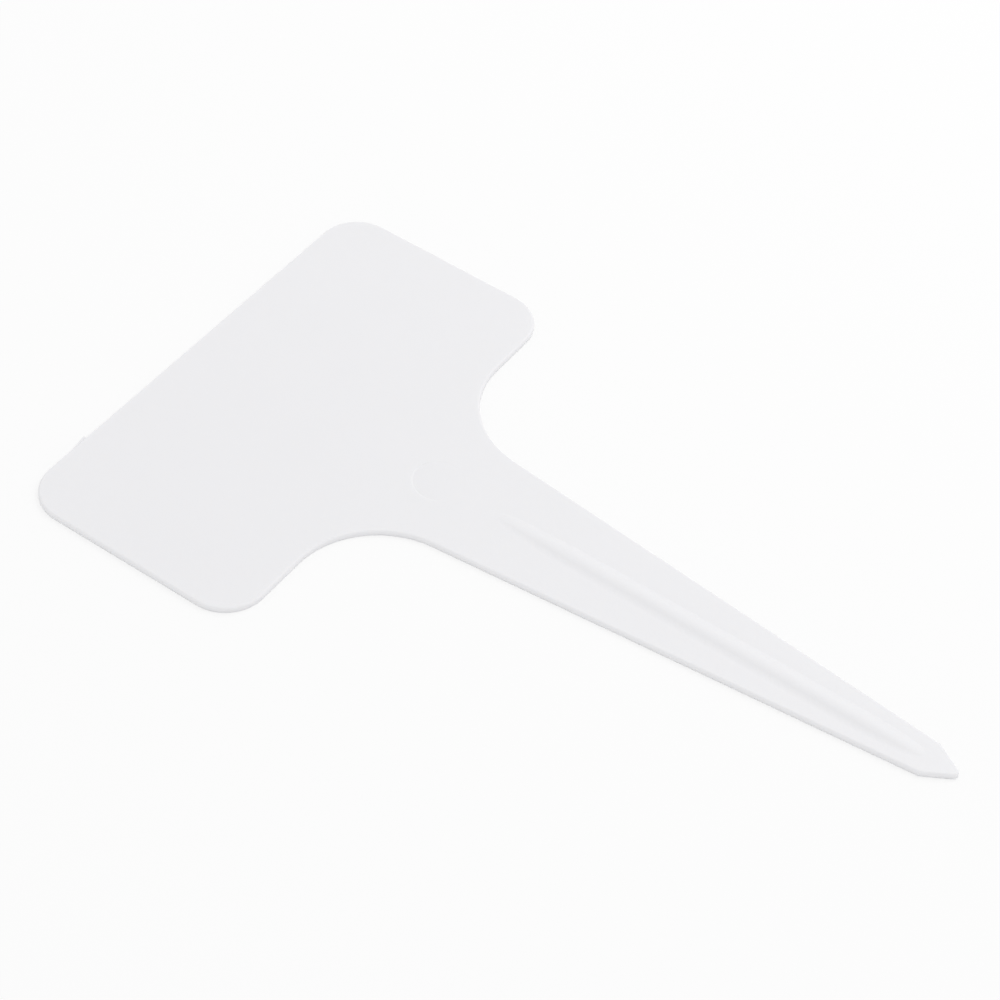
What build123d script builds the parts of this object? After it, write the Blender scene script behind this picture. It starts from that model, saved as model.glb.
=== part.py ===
from build123d import *
import os
from math import cos, radians, sin, sqrt, tan

# Plant label stake, a T-shaped garden tag moulded in one piece, shown as it lies on its flat back.
# The writing face looks along +Z, the tip points along -Y and the plate's long outer edge is at +Y.
# The origin is on the back, half way between the tip and the plate's outer edge. Millimetres.

# The whole tag
length = 100.0
thickness = 0.65
front_round = 0.3

# The writing plate
plate_width = 60.0
plate_height = 29.5
corner_radius = 5.0

# The neck and the tapering stake
neck_width = 17.6
neck_radius = 11.0
shoulder_width = 4.75
shoulder_radius = 0.8

# The tip
tip_half_angle = 31.5
nose_radius = 0.6

# The stiffening rib on the front of the stake
rib_height = 0.36
rib_flank_angle = 22.0
rib_flank_length = 0.1
rib_crest_radius = 2.1
rib_foot_sink = 0.01
rib_skirt = 0.2
rib_burial = 0.1
rib_neck_gap = 12.8
rib_neck_runout = 13.0
rib_tip_gap = 0.6
rib_tip_runout = 8.5

# The ejector pin's witness mark on the neck
mark_diameter = 6.0
mark_depth = 0.04
mark_wall_angle = 60.0
mark_drop = 5.0

# The vestige of the mould's gate on the plate's outer edge
gate_offset = 18.8
gate_width = 2.8
gate_height = 0.45
gate_thickness = 0.5

# A rounding takes no more than this share of the nose's radius or of the sheet
rounding_share = 0.85

# Places that follow from the sizes
tip_slope = radians(tip_half_angle)
nose_apex_y = -length / 2 - nose_radius * (1 / sin(tip_slope) - 1)
shoulder_y = nose_apex_y + shoulder_width / 2 / tan(tip_slope)
plate_top_y = length / 2
plate_bottom_y = plate_top_y - plate_height
rib_neck_y = plate_bottom_y - rib_neck_gap
rib_tip_y = shoulder_y + rib_tip_gap
crest_z = thickness + rib_height
edge_radius = min(front_round, rounding_share * nose_radius, rounding_share * thickness)


def runout_radius(run):
    """Radius of the arc that leaves the level crest and meets the face after this run."""
    return (run**2 + rib_height**2) / (2 * rib_height)


def runout_reach(radius, drop):
    """How far along the stake that arc has gone when it has dropped this far."""
    return sqrt(drop * (2 * radius - drop))


with BuildPart() as label_stake:
    # The rib's crest rises out of the sheet below the neck, runs level and dives back above the tip.
    neck_arc_radius = runout_radius(rib_neck_runout)
    tip_arc_radius = runout_radius(rib_tip_runout)
    dive = rib_height + rib_burial
    level_neck_y = rib_neck_y - rib_neck_runout
    level_tip_y = rib_tip_y + rib_tip_runout
    with BuildLine(Plane.YZ) as crest:
        level_start = (level_neck_y, crest_z)
        level_end = (level_tip_y, crest_z)
        neck_end = (level_neck_y + runout_reach(neck_arc_radius, dive), crest_z - dive)
        tip_end = (level_tip_y - runout_reach(tip_arc_radius, dive), crest_z - dive)
        RadiusArc(neck_end, level_start, -neck_arc_radius)
        Line(level_start, level_end)
        RadiusArc(level_end, tip_end, -tip_arc_radius)

    # Its section is a low roof drawn from the crest down: a round crest, two short straight flanks,
    # and hollow feet that take up what the crest and the flanks leave of the height.
    flank_slope = radians(rib_flank_angle)
    arc_drop_share = 1 - cos(flank_slope)
    roof_apex = rib_crest_radius * (1 / cos(flank_slope) - 1)
    foot_level = -rib_height - rib_foot_sink
    root_level = foot_level - thickness
    foot_drop = -foot_level - rib_crest_radius * arc_drop_share - rib_flank_length * sin(flank_slope)
    foot_radius = foot_drop / arc_drop_share
    foot_corner = (roof_apex - foot_level) / tan(flank_slope)
    skirt_edge = foot_corner + foot_radius * tan(flank_slope / 2) + rib_skirt
    crest_wire = crest.wire()
    section_plane = Plane(origin=crest_wire @ 0, x_dir=(1, 0, 0), z_dir=crest_wire % 0)
    with BuildSketch(section_plane) as rib_section:
        with BuildLine():
            FilletPolyline(
                (-skirt_edge, foot_level),
                (-foot_corner, foot_level),
                (0, roof_apex),
                (foot_corner, foot_level),
                (skirt_edge, foot_level),
                radius=[foot_radius, rib_crest_radius, foot_radius],
            )
            Polyline(
                (skirt_edge, foot_level),
                (skirt_edge, root_level),
                (-skirt_edge, root_level),
                (-skirt_edge, foot_level),
            )
        make_face()
    sweep(path=crest_wire)
    split(bisect_by=Plane.XY.offset(thickness / 2), keep=Keep.TOP)

    # Plate, neck, stake and tip are one outline.
    right_side = [
        (shoulder_width / 2, shoulder_y),
        (neck_width / 2, plate_bottom_y),
        (plate_width / 2, plate_bottom_y),
        (plate_width / 2, plate_top_y),
    ]
    left_side = [(-x, y) for x, y in reversed(right_side)]
    right_radii = [shoulder_radius, neck_radius, corner_radius, corner_radius]
    with BuildSketch() as outline:
        with BuildLine():
            FilletPolyline(
                (0, nose_apex_y),
                *right_side,
                *left_side,
                radius=[nose_radius, *right_radii, *reversed(right_radii)],
                close=True,
            )
        make_face()
    extrude(amount=thickness)
    writing_face = label_stake.faces().filter_by(Plane.XY).sort_by(Axis.Z)[-1]
    fillet(writing_face.outer_wire().edges(), radius=edge_radius)

    # The ejector pin left a shallow round dish.
    with BuildSketch(Plane.XY.offset(thickness)) as mark:
        with Locations((0, plate_bottom_y - mark_drop)):
            Circle(mark_diameter / 2)
    extrude(amount=-mark_depth, taper=mark_wall_angle, mode=Mode.SUBTRACT)

    # The gate tore off in a slant, highest at its inner end.
    with BuildSketch() as gate:
        with BuildLine():
            Polyline(
                (-gate_offset, plate_top_y - front_round),
                (-gate_offset, plate_top_y + gate_height),
                (-gate_offset - gate_width, plate_top_y),
                (-gate_offset - gate_width, plate_top_y - front_round),
                close=True,
            )
        make_face()
    extrude(amount=gate_thickness)

label_stake.part.label = "label_stake"

os.makedirs("parts", exist_ok=True)
export_step(label_stake.part, "parts/label_stake.step")
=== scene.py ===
"""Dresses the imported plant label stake: satin white plastic on a pale table under soft studio light.

Everything is in metres, in the part's own frame: the tag lies on its back at z = 0 with its writing
face up, its tip along -Y and the plate's long outer edge at +Y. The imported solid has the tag's form,
but its facets are too coarse for edges of 0.3 mm, so the moulding is drawn again from the same sizes
with finer curves.
"""

from math import ceil, cos, pi, radians, sin, sqrt, tan

import bmesh
import bpy
from bmesh.types import BMEdge, BMFace, BMVert
from mathutils import Matrix, Vector


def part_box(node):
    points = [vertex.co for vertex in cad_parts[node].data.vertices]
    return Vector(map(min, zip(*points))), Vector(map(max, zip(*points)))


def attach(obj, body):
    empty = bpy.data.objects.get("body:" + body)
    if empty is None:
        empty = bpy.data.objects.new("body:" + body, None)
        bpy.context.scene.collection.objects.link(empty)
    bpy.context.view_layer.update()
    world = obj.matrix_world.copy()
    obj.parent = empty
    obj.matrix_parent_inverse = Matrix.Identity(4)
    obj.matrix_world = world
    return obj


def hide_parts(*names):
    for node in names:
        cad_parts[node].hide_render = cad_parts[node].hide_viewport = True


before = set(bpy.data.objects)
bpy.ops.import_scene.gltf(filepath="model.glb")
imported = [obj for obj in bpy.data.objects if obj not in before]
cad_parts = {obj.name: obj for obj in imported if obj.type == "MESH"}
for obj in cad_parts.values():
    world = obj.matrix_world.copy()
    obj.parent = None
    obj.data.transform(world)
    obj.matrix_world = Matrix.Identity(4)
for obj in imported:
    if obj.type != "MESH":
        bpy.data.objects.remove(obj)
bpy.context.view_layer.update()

mm = 0.001
across = Vector((1, 0, 0))
along = Vector((0, 1, 0))

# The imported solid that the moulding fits
solid_low, solid_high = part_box("label_stake")
tip_y = solid_low.y
plate_top_y = -tip_y
plate_half_width = solid_high.x
rib_top_z = solid_high.z

# The writing plate, the neck, the stake and the tip
front_round = 0.30 * mm
plate_height = 29.5 * mm
corner_radius = 5.0 * mm
neck_half_width = 8.8 * mm
neck_radius = 11.0 * mm
shoulder_half_width = 2.375 * mm
shoulder_radius = 0.8 * mm
tip_half_angle = radians(31.5)
nose_radius = 0.6 * mm

# The stiffening rib, and the strip of the stake's front that it is raised from
rib_height = 0.36 * mm
rib_flank_angle = radians(22.0)
rib_crest_radius = 2.1 * mm
rib_left_foot_radius = 2.47 * mm
rib_right_foot_radius = 0.60 * mm
rib_strip_half_width = 1.87 * mm
rib_neck_gap = 12.8 * mm
rib_neck_runout = 13.0 * mm
rib_tip_gap = 0.6 * mm
rib_tip_runout = 8.5 * mm
rib_narrowing_power = 0.36
rib_least_share = 0.02

# The ejector pin's mark: deepest on the side that it leans to, and almost flush opposite
mark_radius = 3.0 * mm
mark_depth = 0.09 * mm
mark_wall_angle = radians(68.0)
mark_drop = 5.0 * mm
mark_lean = radians(135.0)
mark_least_share = 0.06
mark_panel_half = 4.0 * mm

# The torn gate on the plate's outer edge
gate_offset = 18.8 * mm
gate_width = 2.8 * mm
gate_height = 0.45 * mm

# How fine the curves are
arc_step = radians(4.0)
least_arc_steps = 4
front_round_steps = 8
crest_strips = 12
foot_strips = 7
neck_runout_rows = 18
tip_runout_rows = 16
mark_side_cuts = 23
sharp_angle = radians(17.0)

# How near counts as the same level, and as the same point where a cut meets an edge
same_level = 0.001 * mm
same_point = 0.0001 * mm

# Places that follow from the sizes
plate_bottom_y = plate_top_y - plate_height
sheet_z = rib_top_z - rib_height
nose_apex_y = tip_y - nose_radius * (1 / sin(tip_half_angle) - 1)
shoulder_y = nose_apex_y + shoulder_half_width / tan(tip_half_angle)
rib_neck_y = plate_bottom_y - rib_neck_gap
rib_tip_y = shoulder_y + rib_tip_gap
mark_y = plate_bottom_y - mark_drop

# Where the rib's round crest goes over into its straight flanks
crest_edge_x = rib_crest_radius * sin(rib_flank_angle)
crest_edge_height = rib_height - rib_crest_radius * (1 - cos(rib_flank_angle))

# The plastic
plastic_tone = (0.851, 0.849, 0.866, 1.0)
plastic_shaded_tone = (0.839, 0.837, 0.853, 1.0)
plastic_roughness = 0.46
roughness_spread = 0.10
plastic_refraction = 1.49
plastic_depth = 0.5 * mm
plastic_depth_share = 0.3
plastic_depth_colour_shares = (1.0, 0.97, 0.94)
flow_patch = 14 * mm
skin_grain = 0.16 * mm
skin_grain_depth = 0.0012 * mm
sink_ripple = 7 * mm
sink_ripple_depth = 0.010 * mm

# The photograph's camera, worked out from the tag's outline and its round pin mark
camera_aim = Vector((1.93, 8.49, 0.65)) * mm
camera_distance = 293.2 * mm
camera_azimuth = radians(-150.22)
camera_elevation = radians(47.30)
camera_roll = radians(6.43)
camera_lens = 95.80
camera_sensor = 36.0
camera_near = 1 * mm

# The studio: a brightness of 1 shows as full white, and floor_light is that of a matt white floor
white = (1.0, 1.0, 1.0, 1.0)
backdrop_white = 0.973
sky_strength = 0.880
key_size = 0.36
key_power = 0.66
key_azimuth = radians(-10)
key_elevation = radians(48)
key_distance = 0.6
floor_size = 6.0
floor_drop = 0.02 * mm
floor_tone = 0.95
floor_light = 0.99
floor_lift_share = 0.6


class Number:
    """A number that varies over a surface, taken from a node, which sums and products can use."""

    def __init__(self, nodes, socket):
        self.nodes = nodes
        self.socket = socket

    def _maths(self, operation, first, second):
        return self.nodes.make("ShaderNodeMath", {"operation": operation}, {0: first, 1: second})

    def __add__(self, other):
        return self._maths("ADD", self, other)

    def __radd__(self, other):
        return self._maths("ADD", other, self)

    def __sub__(self, other):
        return self._maths("SUBTRACT", self, other)

    def __rsub__(self, other):
        return self._maths("SUBTRACT", other, self)

    def __mul__(self, other):
        return self._maths("MULTIPLY", self, other)

    def __rmul__(self, other):
        return self._maths("MULTIPLY", other, self)


class Nodes:
    """The nodes of one material or of the world."""

    def __init__(self, owner):
        owner.use_nodes = True
        self.tree = owner.node_tree
        self.tree.nodes.clear()

    def make(self, kind, settings=None, inputs=None, output=0):
        """Makes a node, its settings first and then its sockets' values or links, and gives an output."""
        node = self.tree.nodes.new(kind)
        for name, setting in (settings or {}).items():
            setattr(node, name, setting)
        for name, value in (inputs or {}).items():
            if isinstance(value, Number):
                self.tree.links.new(value.socket, node.inputs[name])
            else:
                node.inputs[name].default_value = value
        return Number(self, node.outputs[output]) if node.outputs else node


def noise(nodes, place, patch, detail, roughness):
    """Soft random patches of about this size, from 0 to 1."""
    return nodes.make(
        "ShaderNodeTexNoise",
        {"noise_dimensions": "3D"},
        {"Vector": place, "Scale": 1 / patch, "Detail": detail, "Roughness": roughness},
    )


def white_plastic():
    """Opaque white polypropylene as moulded: satin, faintly mottled, with the tool's fine grain."""
    material = bpy.data.materials.new("satin_white_plastic")
    nodes = Nodes(material)
    place = nodes.make("ShaderNodeTexCoord", output="Object")
    flow = noise(nodes, place, flow_patch, detail=3.0, roughness=0.45)
    grain = noise(nodes, place, skin_grain, detail=2.0, roughness=0.6)
    ripple = noise(nodes, place, sink_ripple, detail=1.0, roughness=0.4)
    colour = nodes.make(
        "ShaderNodeMix",
        {"data_type": "RGBA"},
        {"Factor": flow, "A": plastic_shaded_tone, "B": plastic_tone},
        "Result",
    )
    height = grain * skin_grain_depth + ripple * sink_ripple_depth
    skin = nodes.make(
        "ShaderNodeBump",
        {},
        {"Height": height, "Strength": 1.0, "Distance": 1.0},
        "Normal",
    )
    surface = nodes.make(
        "ShaderNodeBsdfPrincipled",
        {},
        {
            "Base Color": colour,
            "Roughness": plastic_roughness + (flow - 0.5) * roughness_spread,
            "Normal": skin,
            "IOR": plastic_refraction,
            "Subsurface Weight": plastic_depth_share,
            "Subsurface Radius": plastic_depth_colour_shares,
            "Subsurface Scale": plastic_depth,
        },
    )
    nodes.make("ShaderNodeOutputMaterial", {}, {"Surface": surface})
    return material


def pick(items, kind):
    """The vertices, edges or faces among what an operator gives back."""
    return [item for item in items if isinstance(item, kind)]


def rim_of(items):
    """The open edges of faces just extruded from edges: those whose two ends are both new."""
    new = set(pick(items, BMVert))
    return [edge for edge in pick(items, BMEdge) if new.issuperset(edge.verts)]


def front_faces(shape, low, high):
    """The flat faces of the writing side whose middles lie between two corners, each (x, y)."""
    found = []
    for face in shape.faces:
        middle = face.calc_center_bounds()
        level = all(abs(vert.co.z - sheet_z) < same_level for vert in face.verts)
        if level and low[0] < middle.x < high[0] and low[1] < middle.y < high[1]:
            found.append(face)
    return found


def places_between(start, end, count):
    """The two ends and the places between them that make this many equal steps."""
    return [start + (end - start) * n / count for n in range(count + 1)]


def cut(shape, faces, places, direction):
    """Cuts faces square to a direction at these places along it, and gives the pieces."""
    pieces = list(faces)
    for place in places:
        edges = {edge for face in pieces for edge in face.edges}
        verts = {vert for face in pieces for vert in face.verts}
        result = bmesh.ops.bisect_plane(
            shape,
            geom=pieces + list(edges) + list(verts),
            dist=same_point,
            plane_co=direction * place,
            plane_no=direction,
        )
        pieces = pick(result["geom"], BMFace)
    return pieces


def tag_corners():
    """The outline's corners with their radii, anticlockwise from the tip."""
    right_side = [
        (shoulder_half_width, shoulder_y, shoulder_radius),
        (neck_half_width, plate_bottom_y, neck_radius),
        (plate_half_width, plate_bottom_y, corner_radius),
        (plate_half_width, plate_top_y, corner_radius),
    ]
    left_side = [(-x, y, radius) for x, y, radius in reversed(right_side)]
    corners = [(0, nose_apex_y, nose_radius)] + right_side + left_side
    return [(Vector((x, y, 0)), radius) for x, y, radius in corners]


def draw_outline(shape, corners):
    """Draws a closed flat line whose corners are spun to their radii, and fills it."""
    arcs = []
    for number, (corner, radius) in enumerate(corners):
        back = (corners[number - 1][0] - corner).normalized()
        ahead = (corners[(number + 1) % len(corners)][0] - corner).normalized()
        half = back.angle(ahead) / 2
        side = 1 if back.cross(ahead).z < 0 else -1
        turn = side * (pi - 2 * half)
        start = shape.verts.new(corner + back * radius / tan(half))
        centre = corner + (back + ahead).normalized() * radius / sin(half)
        steps = max(least_arc_steps, ceil(abs(turn) / arc_step))
        spun = bmesh.ops.spin(shape, geom=[start], cent=centre, axis=(0, 0, 1), angle=turn, steps=steps)
        arcs.append((start, pick(spun["geom_last"], BMVert)[0]))
    last_end = arcs[-1][1]
    for start, end in arcs:
        shape.edges.new((last_end, start))
        last_end = end
    return bmesh.ops.contextual_create(shape, geom=shape.edges[:])["faces"][0]


def thicken(shape, back):
    """Raises the sheet from its flat back and rounds the writing face's edge."""
    raised = bmesh.ops.extrude_face_region(shape, geom=[back])["geom"]
    bmesh.ops.translate(shape, verts=pick(raised, BMVert), vec=(0, 0, sheet_z))
    bmesh.ops.recalc_face_normals(shape, faces=shape.faces[:])
    rim = [edge for edge in shape.edges if all(vert.co.z > sheet_z / 2 for vert in edge.verts)]
    bmesh.ops.bevel(
        shape,
        geom=rim,
        offset=front_round,
        offset_type="OFFSET",
        affect="EDGES",
        segments=front_round_steps,
        profile=0.5,
        material=-1,
    )


def press_pin_mark(shape):
    """Presses the ejector pin's round mark into the neck: a shallow dish that fades out on one side."""
    low = (-mark_panel_half, mark_y - mark_panel_half)
    high = (mark_panel_half, mark_y + mark_panel_half)
    whole = front_faces(shape, (-plate_half_width, tip_y), (plate_half_width, plate_top_y))
    cut(shape, whole, (low[1], high[1]), along)
    band = front_faces(shape, (-plate_half_width, low[1]), (plate_half_width, high[1]))
    cut(shape, band, (low[0], high[0]), across)

    # A square panel round the mark is opened, and its edges are drawn in to the lip and down the wall.
    panel = front_faces(shape, low, high)[0]
    sides = panel.edges[:]
    bmesh.ops.delete(shape, geom=[panel], context="FACES_ONLY")
    divided = bmesh.ops.subdivide_edges(shape, edges=sides, cuts=mark_side_cuts)["geom"]
    centre = Vector((0, mark_y, sheet_z))
    lip = bmesh.ops.extrude_edge_only(shape, edges=pick(divided, BMEdge))["geom"]
    for vert in pick(lip, BMVert):
        vert.co = centre + (vert.co - centre).normalized() * mark_radius
    wall = bmesh.ops.extrude_edge_only(shape, edges=rim_of(lip))["geom"]
    lean = Vector((cos(mark_lean), sin(mark_lean), 0))
    for vert in pick(wall, BMVert):
        out = (vert.co - centre) / mark_radius
        depth = mark_depth * max(mark_least_share, out.dot(lean))
        vert.co -= out * depth * tan(mark_wall_angle) + Vector((0, 0, depth))
    dish = bmesh.ops.contextual_create(shape, geom=rim_of(wall))["faces"]
    bmesh.ops.poke(shape, faces=dish)


def foot_ends(foot_radius):
    """How far from the rib's middle line a foot starts and ends.

    The straight flank takes up the height that the crest and the foot leave.
    """
    foot_height = foot_radius * (1 - cos(rib_flank_angle))
    start = crest_edge_x + (crest_edge_height - foot_height) / tan(rib_flank_angle)
    return start, start + foot_radius * sin(rib_flank_angle)


def rib_section(x):
    """The full rib's height over the writing face at this distance from its middle line."""
    foot_radius = rib_left_foot_radius if x < 0 else rib_right_foot_radius
    start, end = foot_ends(foot_radius)
    reach = abs(x)
    if reach < crest_edge_x:
        return rib_height - rib_crest_radius + sqrt(rib_crest_radius**2 - reach**2)
    if reach < start:
        return crest_edge_height - (reach - crest_edge_x) * tan(rib_flank_angle)
    if reach < end:
        return foot_radius - sqrt(foot_radius**2 - (end - reach) ** 2)
    return 0.0


def rib_share(y):
    """How much of its full height the rib has here: it rises and dives along arcs."""
    neck = min(1, max(0, (rib_neck_y - y) / rib_neck_runout))
    tip = min(1, max(0, (y - rib_tip_y) / rib_tip_runout))
    return (1 - (1 - neck) ** 2) * (1 - (1 - tip) ** 2)


def raise_rib(shape):
    """Cuts a fine strip into the stake's front and raises the rib from it, narrower where it is lower."""
    panel_y = mark_y - mark_panel_half
    stake = front_faces(shape, (-neck_half_width, tip_y), (neck_half_width, panel_y))
    cut(shape, stake, (-rib_strip_half_width, rib_strip_half_width), across)
    middle = front_faces(shape, (-rib_strip_half_width, tip_y), (rib_strip_half_width, panel_y))
    cut(shape, middle, (rib_tip_y, rib_neck_y), along)
    strip = front_faces(shape, (-rib_strip_half_width, rib_tip_y), (rib_strip_half_width, rib_neck_y))

    # Lengthwise cuts follow the section, and cuts across it make the runouts' rows.
    places = places_between(-crest_edge_x, crest_edge_x, crest_strips)
    for side, foot_radius in ((-1, rib_left_foot_radius), (1, rib_right_foot_radius)):
        start, end = foot_ends(foot_radius)
        places += places_between(side * start, side * end, foot_strips)
    strip = cut(shape, strip, sorted(places), across)
    neck_rows = places_between(rib_neck_y, rib_neck_y - rib_neck_runout, neck_runout_rows)[1:]
    tip_rows = places_between(rib_tip_y, rib_tip_y + rib_tip_runout, tip_runout_rows)[1:]
    strip = cut(shape, strip, neck_rows + tip_rows, along)

    for vert in {vert for face in strip for vert in face.verts}:
        share = rib_share(vert.co.y)
        if abs(vert.co.x) < rib_strip_half_width - same_level:
            vert.co.z = sheet_z + share * rib_section(vert.co.x)
            vert.co.x *= max(share, rib_least_share) ** rib_narrowing_power


def tear_gate(shape):
    """Draws the gate's vestige out of the plate's outer edge, torn in a slant."""
    wall = []
    for face in shape.faces:
        if all(abs(vert.co.y - plate_top_y) < same_level for vert in face.verts):
            wall.append(face)
    low_end = -gate_offset - gate_width
    high_end = -gate_offset
    pieces = cut(shape, wall, (low_end, high_end), across)
    stub = [face for face in pieces if low_end < face.calc_center_median().x < high_end]
    drawn = bmesh.ops.extrude_discrete_faces(shape, faces=stub)["faces"][0]
    peak = [vert for vert in drawn.verts if vert.co.x > (low_end + high_end) / 2]
    bmesh.ops.translate(shape, verts=peak, vec=(0, gate_height, 0))
    bmesh.ops.remove_doubles(shape, verts=shape.verts[:], dist=same_point)


def mould_tag():
    """The whole tag as one closed moulding, smooth over its curves and crisp at its edges."""
    shape = bmesh.new()
    back = draw_outline(shape, tag_corners())
    thicken(shape, back)
    press_pin_mark(shape)
    raise_rib(shape)
    tear_gate(shape)
    bmesh.ops.recalc_face_normals(shape, faces=shape.faces[:])
    for face in shape.faces:
        face.smooth = True
    for edge in shape.edges:
        edge.smooth = edge.calc_face_angle(pi) < sharp_angle
    mesh = bpy.data.meshes.new("moulded_tag")
    shape.to_mesh(mesh)
    shape.free()
    tag = bpy.data.objects.new("moulded_tag", mesh)
    bpy.context.scene.collection.objects.link(tag)
    shading = tag.modifiers.new("even_shading", "WEIGHTED_NORMAL")
    shading.keep_sharp = True
    mesh.materials.append(white_plastic())
    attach(tag, "root")
    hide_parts("label_stake")


def seen_directly(nodes):
    """1 where the camera sees a thing, straight, in a gloss or through glass, and 0 for its light."""
    straight = nodes.make("ShaderNodeLightPath", output="Is Camera Ray")
    glossy = nodes.make("ShaderNodeLightPath", output="Is Glossy Ray")
    clear = nodes.make("ShaderNodeLightPath", output="Is Transmission Ray")
    return straight + glossy + clear


def pale_floor():
    """A pale matt table that looks as white as the photograph's ground and still takes a shadow."""
    material = bpy.data.materials.new("pale_floor")
    nodes = Nodes(material)
    matt = nodes.make("ShaderNodeBsdfDiffuse", {}, {"Color": (floor_tone, floor_tone, floor_tone, 1.0)})
    unlit = (backdrop_white - (1 - floor_lift_share) * floor_tone * floor_light) / floor_lift_share
    lift = nodes.make("ShaderNodeEmission", {}, {"Color": white, "Strength": unlit})
    lift_share = seen_directly(nodes) * floor_lift_share
    both = nodes.make("ShaderNodeMixShader", {}, {0: lift_share, 1: matt, 2: lift})
    nodes.make("ShaderNodeOutputMaterial", {}, {"Surface": both})
    return material


def lay_floor():
    """The table that the tag lies on."""
    mesh = bpy.data.meshes.new("floor")
    shape = bmesh.new()
    bmesh.ops.create_grid(shape, x_segments=1, y_segments=1, size=floor_size / 2)
    bmesh.ops.translate(shape, verts=shape.verts, vec=(0, 0, -floor_drop))
    shape.to_mesh(mesh)
    shape.free()
    floor = bpy.data.objects.new("floor", mesh)
    bpy.context.scene.collection.objects.link(floor)
    mesh.materials.append(pale_floor())


def light_sky():
    """An even white room, a little brighter where the camera sees it."""
    world = bpy.data.worlds.new("studio")
    bpy.context.scene.world = world
    nodes = Nodes(world)
    strength = seen_directly(nodes) * (backdrop_white - sky_strength) + sky_strength
    sky = nodes.make("ShaderNodeBackground", {}, {"Color": white, "Strength": strength})
    nodes.make("ShaderNodeOutputWorld", {}, {"Surface": sky})


def turned(azimuth, elevation, roll=0.0):
    """The turn of a camera or lamp that stands at these angles and looks at its aim."""
    swing = Matrix.Rotation(azimuth + radians(90), 4, "Z")
    tilt = Matrix.Rotation(radians(90) - elevation, 4, "X")
    return swing @ tilt @ Matrix.Rotation(roll, 4, "Z")


def stand(thing, aim, distance, azimuth, elevation, roll=0.0):
    """Stands a camera or lamp at a distance from what it looks at."""
    turn = turned(azimuth, elevation, roll)
    back = turn @ Vector((0, 0, distance))
    thing.matrix_world = Matrix.Translation(aim + back) @ turn


def hang_key_light():
    """A soft box above the stake's right side, which gives the rib its lit and shaded flank."""
    lamp = bpy.data.lights.new("key", "AREA")
    lamp.shape = "SQUARE"
    lamp.size = key_size
    lamp.energy = key_power
    key = bpy.data.objects.new("key", lamp)
    bpy.context.scene.collection.objects.link(key)
    stand(key, Vector((0, 0, 0)), key_distance, key_azimuth, key_elevation)


def place_camera():
    """The camera at the photograph's place, turned as it was."""
    lens = bpy.data.cameras.new("photograph")
    lens.sensor_width = camera_sensor
    lens.lens = camera_lens
    lens.clip_start = camera_near
    camera = bpy.data.objects.new("photograph", lens)
    bpy.context.scene.collection.objects.link(camera)
    stand(camera, camera_aim, camera_distance, camera_azimuth, camera_elevation, camera_roll)
    bpy.context.scene.camera = camera


bpy.context.scene.view_settings.view_transform = "Standard"
mould_tag()
lay_floor()
light_sky()
hang_key_light()
place_camera()
